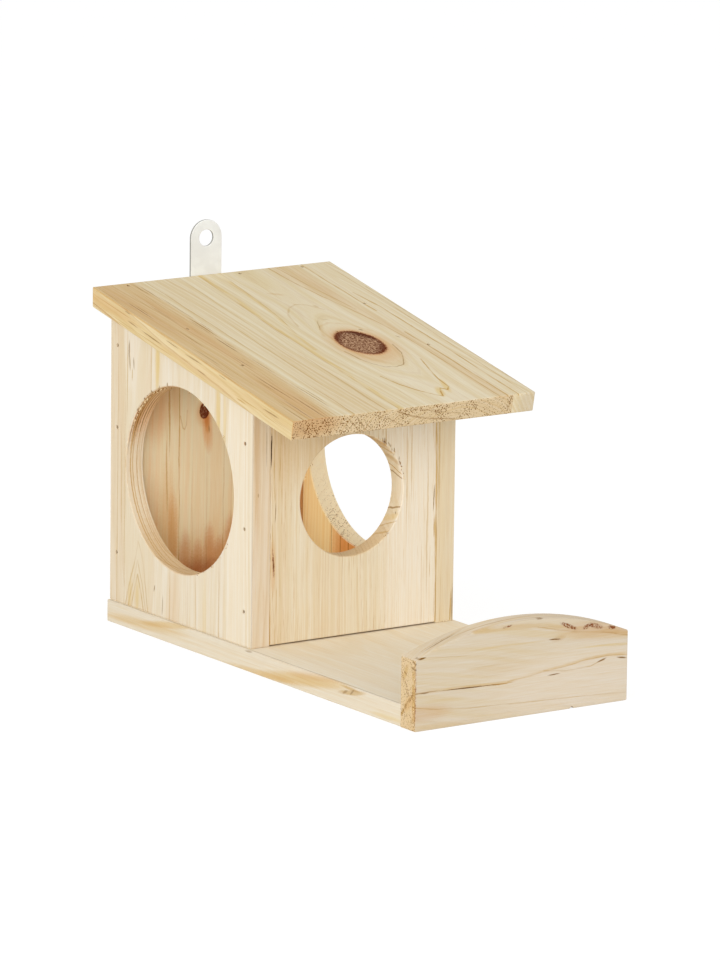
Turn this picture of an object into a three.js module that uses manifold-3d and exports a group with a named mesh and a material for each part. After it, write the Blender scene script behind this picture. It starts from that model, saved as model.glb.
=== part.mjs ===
// Squirrel feeder box: a small house with a lean-to roof on a long base board that ends in an arched
// lip board. Seven softwood boards, held by finishing nails, and a steel strap to hang it by.
// Millimetres, +Z up. The front faces -Y, and the origin is on the ground, under the middle.

import * as THREE from "three";
import { mergeVertices } from "three/addons/utils/BufferGeometryUtils.js";
import Module from "manifold-3d";

const wasm = await Module();
wasm.setup();

// Base board
const baseSideMargin = 1.5;
const baseLength = 248;
const baseThickness = 10.5;

// House: the four walls at the back end of the base board
const houseWidth = 114;
const houseDepth = 123;
const sidePanelThickness = 10;
const frontPanelThickness = 10;
const backPanelThickness = 10;
const frontPanelFloorGap = 0.6;

// Roof board, whose back end is plumb and flush with the house
const roofSideOverhang = 10.5;
const roofFrontOverhang = 49;
const roofThickness = 9.5;
const roofBackHeight = 163;
const roofSlopeDegrees = 11.5;
const roofSeatGap = 0.3;

// Lip board at the front end of the base board
const lipSideOverhang = 0.5;
const lipThickness = 11.5;
const lipEndHeight = 33;
const lipArchRise = 11.5;
const lipNickWidth = 1.8;
const lipNickDepth = 4;
const lipNickOffset = 28;

// Openings: one in each side panel, set by the wood that is left round it, and one in the front panel
const sideHoleBackMargin = 13.25;
const sideHoleFrontMargin = 16.25;
const sideHoleFloorMargin = 24;
const sideHoleTopMargin = 17.3;
const frontHoleDiameter = 58;
const frontHoleTopMargin = 21.5;
const frontHoleOffset = -1.5;

// Softened edges, and the rounding of the boards' corners
const boardEdgeRound = 0.35;
const boardCornerRound = 0.6;
const holeEdgeRound = 0.4;

// Finishing nails
const nailShankDiameter = 1.1;
const nailHeadDiameter = 1.5;
const nailHeadHeight = 0.7;
const nailPointLength = 1.5;
const nailLength = 22;
const nailSetDepth = 0.3;
const nailClearance = 0.2;

// Places of the nails, as shares of what they follow
const frontEdgeNailShares = [0.14, 0.47, 0.81];
const backEdgeNailShares = [0.17, 0.6, 0.88];
const frontPanelNailShare = 0.68;
const backPanelNailShare = 0.6;
const roofBackNailShare = 0.32;
const roofLeftNailShares = [0.14, 0.52];
const roofRightNailShares = [0.13, 0.57];
const roofCornerNailShare = 0.25;
const roofMiddleNailShare = 0.24;
const baseSideNailShares = [0.18, 0.8];
const baseCrossNailShares = [-0.45, 0.45];

// Hanger strap, behind the back panel
const strapWidth = 17.5;
const strapThickness = 1.2;
const strapRise = 26.5;
const strapEndMargin = 8;
const strapOffset = -3.5;
const strapHoleDiameter = 8;
const strapCornerRound = 2.5;
const strapEdgeRound = 0.2;

// Strap screws
const screwShankDiameter = 3;
const screwHeadDiameter = 6;
const screwHeadHeight = 1.8;
const screwCrownHeight = 0.6;
const screwLength = 8;
const screwPointLength = 3;
const screwRecessWidth = 0.9;
const screwRecessSpan = 3.6;
const screwRecessDepth = 1.1;
const screwClearance = 0.3;
const screwTopMargin = 9.5;
const screwSpacing = 18;

// How far a cut runs on past the surface
const cutOverrun = 2;

// Fineness of the curves
const nailSides = 10;
const screwSides = 16;
const holeSides = 72;
const lipArcSteps = 32;
const edgeSegments = 2;
const roundSegments = 12;
const flatCornerDegrees = 15;

// Worked out from the sizes above
const baseWidth = houseWidth + 2 * baseSideMargin;
const lipWidth = baseWidth + 2 * lipSideOverhang;
const roofWidth = houseWidth + 2 * roofSideOverhang;
const halfHouse = houseWidth / 2;
const innerHalf = halfHouse - sidePanelThickness;
const sidePanelX = halfHouse - sidePanelThickness / 2;
const houseBack = baseLength;
const houseFront = houseBack - houseDepth;
const roofFront = houseFront - roofFrontOverhang;
const slope = THREE.MathUtils.degToRad(roofSlopeDegrees);
const strapTop = roofBackHeight + strapRise;
const quarterTurn = Math.PI / 2;

const axisX = new THREE.Vector3(1, 0, 0);
const axisY = new THREE.Vector3(0, 1, 0);
const axisZ = new THREE.Vector3(0, 0, 1);
const sideOn = new THREE.Matrix4().makeBasis(axisY, axisZ, axisX);
const frontOn = new THREE.Matrix4().makeBasis(axisX, axisZ, axisY.clone().negate());

// Turns that point a nail or screw, which is modelled with its head towards +Y
const headUp = [quarterTurn, 0, 0];
const headDown = [-quarterTurn, 0, 0];
const headLeft = [0, 0, quarterTurn];
const headRight = [0, 0, -quarterTurn];
const headBack = [0, 0, 0];

function wood(color) {
  return new THREE.MeshStandardMaterial({ color, roughness: 0.72, metalness: 0 });
}

function steel(color, roughness) {
  return new THREE.MeshStandardMaterial({ color, roughness, metalness: 0.9 });
}

// Turns a closed three.js geometry into a solid that can be cut
function toSolid(geometry) {
  const bare = geometry.clone();
  bare.deleteAttribute("normal");
  bare.deleteAttribute("uv");
  const merged = mergeVertices(bare);
  return new wasm.Manifold(new wasm.Mesh({
    numProp: 3,
    vertProperties: new Float32Array(merged.attributes.position.array),
    triVerts: new Uint32Array(merged.index.array),
  }));
}

function toGeometry(solid) {
  const cutMesh = solid.getMesh();
  const geometry = new THREE.BufferGeometry();
  geometry.setAttribute("position", new THREE.BufferAttribute(cutMesh.vertProperties, cutMesh.numProp));
  geometry.setIndex(new THREE.BufferAttribute(cutMesh.triVerts, 1));
  geometry.computeVertexNormals();
  return geometry;
}

// Cuts a mesh with others that stand beside it in the same group
function cut(mesh, cutters) {
  mesh.updateMatrix();
  const toLocal = mesh.matrix.clone().invert();
  let solid = toSolid(mesh.geometry);
  for (const cutter of cutters) {
    cutter.updateMatrix();
    const placement = toLocal.clone().multiply(cutter.matrix);
    solid = solid.subtract(toSolid(cutter.geometry.clone().applyMatrix4(placement)));
  }
  mesh.geometry = toGeometry(solid);
}

function place(mesh, position, turn = headBack) {
  mesh.position.set(...position);
  mesh.rotation.set(...turn);
  return mesh;
}

// An outline with its sharp corners rounded; the flat ones, along an arc, are left as they are
function softOutline(corners, round) {
  const flattest = Math.cos(THREE.MathUtils.degToRad(flatCornerDegrees));
  const shape = new THREE.Shape();
  corners.forEach((corner, i) => {
    const before = corners[(i + corners.length - 1) % corners.length].clone().sub(corner).normalize();
    const after = corners[(i + 1) % corners.length].clone().sub(corner).normalize();
    const enter = corner.clone().addScaledVector(before, round);
    const leave = corner.clone().addScaledVector(after, round);
    const isFlat = -before.dot(after) > flattest;
    const start = isFlat ? corner : enter;
    if (i === 0) {
      shape.moveTo(start.x, start.y);
    } else {
      shape.lineTo(start.x, start.y);
    }
    if (!isFlat) {
      shape.quadraticCurveTo(corner.x, corner.y, leave.x, leave.y);
    }
  });
  shape.closePath();
  return shape;
}

// A board of the outline's shape, with softened edges, centred on its own thickness
function board(shape, thickness, round, segments) {
  const depth = thickness - 2 * round;
  const geometry = new THREE.ExtrudeGeometry(shape, {
    depth,
    bevelEnabled: true,
    bevelThickness: round,
    bevelSize: round,
    bevelOffset: -round,
    bevelSegments: edgeSegments,
    curveSegments: segments,
  });
  return geometry.translate(0, 0, -depth / 2);
}

function named(name, geometry, material) {
  const mesh = new THREE.Mesh(geometry, material);
  mesh.name = name;
  return mesh;
}

function points(pairs) {
  return pairs.map(([x, y]) => new THREE.Vector2(x, y));
}

function roofTopAt(y) {
  return roofBackHeight - (houseBack - y) * Math.tan(slope);
}

function wallTopAt(y) {
  return roofTopAt(y) - roofThickness / Math.cos(slope) - roofSeatGap;
}

// Seen from the side: a wall that runs from one depth to another, with its top cut to the roof's slope
function wallOutline(front, back, bottom) {
  return softOutline(points([
    [front, bottom],
    [back, bottom],
    [back, wallTopAt(back)],
    [front, wallTopAt(front)],
  ]), boardCornerRound);
}

function makeBase() {
  const half = baseWidth / 2;
  const outline = softOutline(points([
    [-half, 0],
    [half, 0],
    [half, baseLength],
    [-half, baseLength],
  ]), boardCornerRound);
  const geometry = board(outline, baseThickness, boardEdgeRound, edgeSegments);
  return place(named("base_board", geometry, wood(0xe8d8ba)), [0, 0, baseThickness / 2]);
}

function makeSidePanel(name, x, material) {
  const outline = wallOutline(houseFront, houseBack, baseThickness);
  const geometry = board(outline, sidePanelThickness, boardEdgeRound, edgeSegments);
  return place(named(name, geometry.applyMatrix4(sideOn), material), [x, 0, 0]);
}

// The front and back panels stand between the side panels, flush with their edges
function makeFrontPanel() {
  const inner = houseFront + frontPanelThickness;
  const outline = wallOutline(houseFront, inner, baseThickness + frontPanelFloorGap);
  const geometry = board(outline, 2 * innerHalf, boardEdgeRound, edgeSegments);
  return named("front_panel", geometry.applyMatrix4(sideOn), wood(0xe4cea2));
}

function makeBackPanel() {
  const inner = houseBack - backPanelThickness;
  const outline = wallOutline(inner, houseBack, baseThickness);
  const geometry = board(outline, 2 * innerHalf, boardEdgeRound, edgeSegments);
  return named("back_panel", geometry.applyMatrix4(sideOn), wood(0xd9b480));
}

function makeRoof() {
  const frontZ = roofTopAt(roofFront);
  const outline = softOutline(points([
    [houseBack, roofBackHeight],
    [roofFront, frontZ],
    [roofFront + roofThickness * Math.sin(slope), frontZ - roofThickness * Math.cos(slope)],
    [houseBack, roofBackHeight - roofThickness / Math.cos(slope)],
  ]), boardCornerRound);
  const geometry = board(outline, roofWidth, boardEdgeRound, edgeSegments);
  return named("roof_board", geometry.applyMatrix4(sideOn), wood(0xdfc79d));
}

// The arc that tops the lip board, from its right end to its left end
function lipArc() {
  const half = lipWidth / 2;
  const crown = lipEndHeight + lipArchRise;
  const radius = (half * half + lipArchRise * lipArchRise) / (2 * lipArchRise);
  const sweep = Math.asin(half / radius);
  const arc = [];
  for (let i = 0; i <= lipArcSteps; i += 1) {
    const angle = sweep * (1 - (2 * i) / lipArcSteps);
    arc.push([radius * Math.sin(angle), crown - radius * (1 - Math.cos(angle))]);
  }
  return arc;
}

function makeLip() {
  const half = lipWidth / 2;
  const outline = softOutline(points([[-half, 0], [half, 0], ...lipArc()]), boardCornerRound);
  const geometry = board(outline, lipThickness, boardEdgeRound, edgeSegments).applyMatrix4(frontOn);
  const lip = place(named("lip_board", geometry, wood(0xe3cfa6)), [0, -lipThickness / 2, 0]);
  const nick = new THREE.Mesh(new THREE.BoxGeometry(lipNickWidth, lipNickDepth, lipNickWidth));
  place(nick, [lipNickOffset, -lipThickness, 0], [0, quarterTurn / 2, 0]);
  cut(lip, [nick]);
  return lip;
}

// A round opening's cutter along Y through a wall, with its two rims softened
function rimmedHole(radius, thickness) {
  const face = thickness / 2;
  const wide = radius + holeEdgeRound;
  const profile = points([
    [0, -face - cutOverrun],
    [wide, -face - cutOverrun],
    [wide, -face],
    [radius, -face + holeEdgeRound],
    [radius, face - holeEdgeRound],
    [wide, face],
    [wide, face + cutOverrun],
    [0, face + cutOverrun],
  ]);
  return new THREE.Mesh(new THREE.LatheGeometry(profile, holeSides));
}

// A side panel's opening is sawn a little longer than it is high
function sideHole(x) {
  const length = houseDepth - sideHoleBackMargin - sideHoleFrontMargin;
  const y = houseBack - sideHoleBackMargin - length / 2;
  const bottom = baseThickness + sideHoleFloorMargin;
  const height = wallTopAt(y) - sideHoleTopMargin - bottom;
  const hole = rimmedHole(height / 2, sidePanelThickness);
  hole.scale.set(length / height, 1, 1);
  return place(hole, [x, y, bottom + height / 2], headLeft);
}

function frontHole() {
  const radius = frontHoleDiameter / 2;
  const hole = rimmedHole(radius, frontPanelThickness);
  const z = wallTopAt(houseFront) - frontHoleTopMargin - radius;
  return place(hole, [frontHoleOffset, houseFront + frontPanelThickness / 2, z]);
}

// Outline of a finishing nail from its point to its head's rim, which lies at the origin's height.
// The shank runs towards -Y, and the bore round it is the same outline with the clearance added.
function nailProfile(extra) {
  return [
    [0, -nailLength - extra],
    [nailShankDiameter / 2 + extra, -nailLength + nailPointLength],
    [nailShankDiameter / 2 + extra, -nailHeadHeight],
    [nailHeadDiameter / 2 + extra, 0],
  ];
}

function makeNail() {
  return new THREE.LatheGeometry(points([...nailProfile(0), [0, 0]]), nailSides);
}

function makeNailBore() {
  const mouth = nailHeadDiameter / 2 + nailClearance;
  const profile = [...nailProfile(nailClearance), [mouth, cutOverrun], [0, cutOverrun]];
  return new THREE.LatheGeometry(points(profile), nailSides);
}

// Where each nail's head sits on the outside of the boards, with its turn
function nailSites() {
  const cornerX = innerHalf + sidePanelThickness * roofCornerNailShare;
  const frontY = houseFront + frontPanelThickness * frontPanelNailShare;
  const backY = houseBack - backPanelThickness * backPanelNailShare;
  const roofBackY = houseBack - backPanelThickness * roofBackNailShare;
  const sites = [];
  const drive = (set, at, turn) => sites.push({ set, at, turn });
  const roofNail = (x, y) => drive("roof", [x, y, roofTopAt(y) - nailSetDepth], headUp);
  const baseNail = (x, y) => drive("base", [x, y, nailSetDepth], headDown);
  const sideNails = (y, shares) => shares.forEach((share) => {
    const z = baseThickness + (wallTopAt(y) - baseThickness) * share;
    const x = halfHouse - nailSetDepth;
    drive("left", [-x, y, z], headLeft);
    drive("right", [x, y, z], headRight);
  });
  roofNail(-cornerX, roofBackY);
  roofNail(halfHouse * roofMiddleNailShare, roofBackY);
  roofNail(cornerX, roofBackY);
  roofLeftNailShares.forEach((share) => roofNail(-sidePanelX, houseFront + houseDepth * share));
  roofRightNailShares.forEach((share) => roofNail(sidePanelX, houseFront + houseDepth * share));
  sideNails(frontY, frontEdgeNailShares);
  sideNails(backY, backEdgeNailShares);
  baseSideNailShares.forEach((share) => {
    baseNail(-sidePanelX, houseFront + houseDepth * share);
    baseNail(sidePanelX, houseFront + houseDepth * share);
  });
  baseCrossNailShares.forEach((share) => {
    baseNail(innerHalf * share, houseFront + frontPanelThickness / 2);
    baseNail(innerHalf * share, backY);
  });
  return sites;
}

// One mesh for each nail, numbered within its set
function makeNails(sites) {
  const counts = {};
  return sites.map(({ set, at, turn }) => {
    counts[set] = (counts[set] || 0) + 1;
    const mesh = named(`${set}_nail_${counts[set]}`, makeNail(), steel(0x8d8474, 0.45));
    return place(mesh, at, turn);
  });
}

function makeNailBores(sites) {
  return sites.map(({ at, turn }) => place(new THREE.Mesh(makeNailBore()), at, turn));
}

// Height of a strap screw: 0 for the upper one, 1 for the lower one
function screwHeight(index) {
  return wallTopAt(houseBack) - screwTopMargin - screwSpacing * index;
}

function circlePath(x, y, radius) {
  const path = new THREE.Path();
  path.absarc(x, y, radius, 0, 2 * Math.PI, true);
  return path;
}

function makeStrap() {
  const half = strapWidth / 2;
  const corner = half - strapCornerRound;
  const bottom = screwHeight(1) - strapEndMargin;
  const shoulder = strapTop - half;
  const outline = new THREE.Shape();
  outline.moveTo(-corner, bottom);
  outline.lineTo(corner, bottom);
  outline.absarc(corner, bottom + strapCornerRound, strapCornerRound, -quarterTurn, 0);
  outline.absarc(0, shoulder, half, 0, Math.PI);
  outline.absarc(-corner, bottom + strapCornerRound, strapCornerRound, Math.PI, 3 * quarterTurn);
  outline.holes.push(circlePath(0, shoulder, strapHoleDiameter / 2));
  const screwHole = screwShankDiameter / 2 + screwClearance;
  outline.holes.push(circlePath(0, screwHeight(0), screwHole));
  outline.holes.push(circlePath(0, screwHeight(1), screwHole));
  const geometry = board(outline, strapThickness, strapEdgeRound, roundSegments).applyMatrix4(frontOn);
  return place(named("hanger_strap", geometry, steel(0xdedcd2, 0.35)), [
    strapOffset,
    houseBack + strapThickness / 2,
    0,
  ]);
}

// A pan-head screw, its head's underside at the origin and its shank towards -Y
function screwProfile(extra) {
  const shank = screwShankDiameter / 2 + extra;
  return points([
    [0, -screwLength - extra],
    [shank, -screwLength + screwPointLength],
    [shank, 0],
  ]);
}

function makeScrew(name, index) {
  const head = screwHeadDiameter / 2;
  const profile = screwProfile(0).concat(points([
    [head, 0],
    [head, screwHeadHeight - screwCrownHeight],
    [head - screwCrownHeight, screwHeadHeight],
    [0, screwHeadHeight],
  ]));
  const screw = named(name, new THREE.LatheGeometry(profile, screwSides), steel(0xb9b4a6, 0.4));
  const depth = screwRecessDepth + cutOverrun;
  const slot = new THREE.BoxGeometry(screwRecessSpan, depth, screwRecessWidth);
  const middle = screwHeadHeight - screwRecessDepth + depth / 2;
  const across = place(new THREE.Mesh(slot), [0, middle, 0]);
  const along = place(new THREE.Mesh(slot), [0, middle, 0], [0, quarterTurn, 0]);
  cut(screw, [across, along]);
  return place(screw, [strapOffset, houseBack + strapThickness, screwHeight(index)]);
}

// The pilot hole of a strap screw, from its point out past the back panel's face
function screwBore(index) {
  const profile = screwProfile(screwClearance).concat(points([[0, 0]]));
  const bore = new THREE.Mesh(new THREE.LatheGeometry(profile, screwSides));
  return place(bore, [strapOffset, houseBack + strapThickness, screwHeight(index)]);
}

function buildFeeder() {
  const left = makeSidePanel("left_side_panel", -sidePanelX, wood(0xeddfc4));
  const right = makeSidePanel("right_side_panel", sidePanelX, wood(0xead9b6));
  const front = makeFrontPanel();
  const back = makeBackPanel();
  cut(left, [sideHole(-sidePanelX)]);
  cut(right, [sideHole(sidePanelX)]);
  cut(front, [frontHole()]);
  cut(back, [screwBore(0), screwBore(1)]);
  const boards = [makeBase(), left, right, front, back, makeRoof()];
  const sites = nailSites();
  const bores = makeNailBores(sites);
  boards.forEach((mesh) => cut(mesh, bores));
  const screws = [makeScrew("strap_screw_upper", 0), makeScrew("strap_screw_lower", 1)];
  return [...boards, makeLip(), ...makeNails(sites), makeStrap(), ...screws];
}

const feeder = new THREE.Group();
feeder.name = "squirrel_feeder_box";
feeder.add(...buildFeeder());
const rearmost = houseBack + strapThickness + screwHeadHeight;
feeder.position.y = (lipThickness - rearmost) / 2;

export default feeder;
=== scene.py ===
"""Squirrel feeder box of nailed softwood: camera, stage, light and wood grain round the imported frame."""
import math
import random

import bpy
from mathutils import Matrix, Vector


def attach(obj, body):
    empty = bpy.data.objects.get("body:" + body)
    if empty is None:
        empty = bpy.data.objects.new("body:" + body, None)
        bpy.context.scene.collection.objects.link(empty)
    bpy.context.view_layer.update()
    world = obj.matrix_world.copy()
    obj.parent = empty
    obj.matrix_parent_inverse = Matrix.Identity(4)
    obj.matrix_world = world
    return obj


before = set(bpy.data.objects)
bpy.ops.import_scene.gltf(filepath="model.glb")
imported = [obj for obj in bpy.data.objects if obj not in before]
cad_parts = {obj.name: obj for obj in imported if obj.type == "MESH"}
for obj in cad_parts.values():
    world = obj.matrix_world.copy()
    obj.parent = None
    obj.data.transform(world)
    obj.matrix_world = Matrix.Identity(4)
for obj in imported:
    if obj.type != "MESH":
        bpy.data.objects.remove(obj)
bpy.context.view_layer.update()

# The photograph's camera, fitted to the box's corners; lengths in metres, angles in degrees
IMAGE_LONG_SIDE = 960
FOCAL_PIXELS = 7299.8
SENSOR_MM = 36
CAMERA_AZIMUTH = -34.34
CAMERA_ELEVATION = 11.96
CAMERA_ROLL = 0.70
CAMERA_DISTANCE = 3.400
CAMERA_SLIDE_RIGHT = -0.00046
CAMERA_SLIDE_UP = 0.00542
LOOK_AT = Vector((0.0, 0.00025, 0.08))

# Light levels. The floor's paper is pale for light, and glows for the camera alone.
SKY_STRENGTH = 0.68
FLOOR_HALF_SIDE = 12.0
FLOOR_GLOW = 0.86
PAPER_GREY = (0.8, 0.8, 0.8, 1)
FAINT_GREY = (0.2, 0.2, 0.2, 1)
WHITE = (1, 1, 1, 1)
# Lamps: name, place and disk size in metres, power in watts
LAMP_TARGET = (0, 0, 0.08)
LAMPS = (
    ("key_left", (-1.7, -1.3, 0.6), 1.3, 13.2),
    ("side_left", (-2.1, -0.35, 0.5), 1.1, 14.8),
    ("fill_front", (0.5, -1.9, 0.9), 1.4, 8.0),
    ("left_front", (-1.1, -1.8, 0.5), 1.2, 2.5),
)

MILLIMETRES = 1000.0
# The part's source measures Y from the base board's front end; the row frame's zero lies this far back
SOURCE_Y_ZERO = 119.75
# Sockets of a node that mixes colours
MIX_FACTOR, MIX_A, MIX_B = 0, 6, 7
MIX_RESULT = 2


def linear(hex_color):
    """An sRGB colour written as 0xRRGGBB, as the linear colour that shaders take."""
    channels = [(hex_color >> shift & 255) / 255 for shift in (16, 8, 0)]
    return tuple(c / 12.92 if c <= 0.04045 else ((c + 0.055) / 1.055) ** 2.4 for c in channels) + (1.0,)


class Shader:
    """Adds and joins the shader nodes of one material or group, and is called s where it is used.

    A value may be a number, a tuple or a socket.
    """

    def __init__(self, tree):
        self.tree = tree
        tree.nodes.clear()

    def node(self, kind, **settings):
        made = self.tree.nodes.new("ShaderNode" + kind)
        for key, value in settings.items():
            setattr(made, key, value)
        return made

    def put(self, socket, value):
        if isinstance(value, bpy.types.NodeSocket):
            self.tree.links.new(value, socket)
        else:
            socket.default_value = value

    def fill(self, made, values):
        """Puts values into a node's sockets: in turn, or by name where they are a dictionary."""
        for key, value in values.items() if isinstance(values, dict) else enumerate(values):
            self.put(made.inputs[key], value)
        return made

    def math(self, operation, *values):
        return self.fill(self.node("Math", operation=operation), values).outputs[0]

    def add(self, a, b):
        return self.math("ADD", a, b)

    def sub(self, a, b):
        return self.math("SUBTRACT", a, b)

    def mul(self, a, b):
        return self.math("MULTIPLY", a, b)

    def vector(self, operation, *values):
        made = self.fill(self.node("VectorMath", operation=operation), values)
        return made.outputs["Value" if operation in ("DOT_PRODUCT", "LENGTH", "DISTANCE") else "Vector"]

    def scale(self, vector, factor):
        made = self.node("VectorMath", operation="SCALE")
        return self.fill(made, {"Vector": vector, "Scale": factor}).outputs["Vector"]

    def combine(self, x, y, z):
        return self.fill(self.node("CombineXYZ"), (x, y, z)).outputs[0]

    def noise(self, vector, scale=1.0, detail=2.0, roughness=0.5):
        made = self.node("TexNoise", noise_dimensions="3D")
        values = {"Vector": vector, "Scale": scale, "Detail": detail, "Roughness": roughness}
        return self.fill(made, values).outputs["Fac"]

    def cells(self, vector, scale):
        return self.fill(self.node("TexVoronoi"), {"Vector": vector, "Scale": scale}).outputs["Distance"]

    def random(self, value):
        made = self.node("TexWhiteNoise", noise_dimensions="1D")
        return self.fill(made, {"W": value}).outputs["Value"]

    def step(self, value, low, high, to_low=0.0, to_high=1.0, smooth=True):
        """Rises from to_low to to_high as value goes from low to high."""
        made = self.node("MapRange", interpolation_type="SMOOTHSTEP" if smooth else "LINEAR")
        values = {"Value": value, "From Min": low, "From Max": high, "To Min": to_low, "To Max": to_high}
        return self.fill(made, values).outputs["Result"]

    def mix(self, factor, a, b, blend="MIX"):
        """Mixes two colours, each a socket or written as 0xRRGGBB."""
        a, b = (linear(color) if isinstance(color, int) else color for color in (a, b))
        made = self.node("Mix", data_type="RGBA", blend_type=blend, clamp_factor=True)
        return self.fill(made, {MIX_FACTOR: factor, MIX_A: a, MIX_B: b}).outputs[MIX_RESULT]

    def bump(self, height, strength, distance):
        values = {"Height": height, "Strength": strength, "Distance": distance}
        return self.fill(self.node("Bump"), values).outputs["Normal"]

    def place(self):
        """Where a point lies on the part, in millimetres of the row frame."""
        return self.scale(self.node("TexCoord").outputs["Object"], MILLIMETRES)

    def surface(self, shader, output="OutputMaterial"):
        self.put(self.node(output).inputs["Surface"], shader.outputs[0])


def new_material(name):
    material = bpy.data.materials.new(name)
    material.use_nodes = True
    return material, Shader(material.node_tree)


def point(x, y, z):
    """A point given in the part's source, in millimetres, as shader millimetres of the row frame."""
    return Vector((x, y - SOURCE_Y_ZERO, z))


SLOPE = math.radians(11.5)
AXIS_X, AXIS_Y, AXIS_Z = Vector((1, 0, 0)), Vector((0, 1, 0)), Vector((0, 0, 1))
UP_THE_ROOF = Vector((0, math.cos(SLOPE), math.sin(SLOPE)))
OFF_THE_ROOF = Vector((0, -math.sin(SLOPE), math.cos(SLOPE)))

# Colours of the wood's marks. They darken the wood under them like a stain, but those named in COVERING
# cover it. Some of them are painted shade or painted reflected light, as the notes where they are used say.
YELLOW = 0xF7E6AE
GOLD = 0xF3DEB1
TAN = 0xEDD6B1
ORANGE = 0xEEC590
GRAIN = 0xD8B86E
DARK_GRAIN = 0xAE8C46
BROWN = 0x967230
BARK = 0x9E5A22
BLACK = 0x50381C
SHADE = 0xE4E1E0
# Painted shade for the left panel's outside face
LEFT_OUTSIDE_SHADE = 0xE6E5E3
SOFT = 0xEFEFED
EMBER = 0xEEB478
RUST = 0xDC9650
STRAW = 0xE5D6B0
HONEY = 0xE2B482
FROST = 0xECECF2
APRICOT = 0xF2B87A
# Painted shade for the right panel's front edge
RIGHT_EDGE_SHADE = 0xE0E0E4
# Painted reflected light for the right panel's inside face
WARM_REFLECTED_LIGHT = 0xF8E2A8
# Painted shade for the lower part of the right panel's inside face
LOW_INSIDE_SHADE = 0xE4A25C
WHEAT = 0xECC48A
# Painted shade for the back panel's inside corner by the right panel
CORNER_SHADE = 0xC08A54
SIENNA = 0xBC763C
# Painted shade for the base's left side face
BASE_SIDE_SHADE = 0xE5E3E1
LINEN = 0xDAD4C6
PALE = 0xF6ECD8
MILK = 0xF2EBE0
ROSE = 0xDDD2C3
COVERING = (PALE, MILK, ROSE)
# Colours of a knot, from its grain to its rim
KNOT_DARK = 0x5C2A16
KNOT_LIGHT = 0xC89E76
KNOT_GRIT = 0xE8CEAC
KNOT_UPPER = 0x4C1A0A
KNOT_ENDS = 0x5E2410
KNOT_RIM = 0x642C12
KNOT_CLOSED = 0x74301A
# Metals, new and worn, the strap's cut edges, and torn fibres, dark and pale
STRAP_METAL, STRAP_WORN, STRAP_EDGE = 0xF1F2EE, 0xE7E7E3, 0x9A9890
SCREW_METAL, SCREW_WORN = 0xC9C2B0, 0xA8A08C
NAIL_METAL, NAIL_WORN = 0x7C6A50, 0x9A8664
ROOF_NAIL_METAL, ROOF_NAIL_WORN = 0x30241A, 0x46341F
FIBRE_DARK, FIBRE_PALE = 0x946634, 0xF4E0B4


def notch_shade_flecks(middle, half_wide, half_high, low, high, count, seed, half_width):
    """Dark streaks where fibres tore out of an opening's rim, between two angles in degrees: the torn notches
    are real, their darkness is painted shade.
    """
    rng = random.Random(seed)
    rows = []
    for _ in range(count):
        angle = math.radians(rng.uniform(low, high))
        u = middle[0] + half_high * math.sin(angle)
        v = middle[1] + half_wide * math.cos(angle)
        drop, rise = rng.uniform(0.2, 0.6), rng.uniform(0.9, 2.3)
        ends = (u - drop, v, u + rise, v + rng.uniform(-0.1, 0.1))
        look = (half_width * rng.uniform(0.7, 1.3), 0.6, rng.choice((BROWN, DARK_GRAIN)))
        rows.append(ends + look + (rng.uniform(0.6, 0.9),))
    return rows


def alike(softness, tone, *rows):
    """Streaks of one softness and colour, each as (from a, from b, to a, to b, half width, strength)."""
    return [row[:5] + (softness, tone, row[5]) for row in rows]


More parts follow.
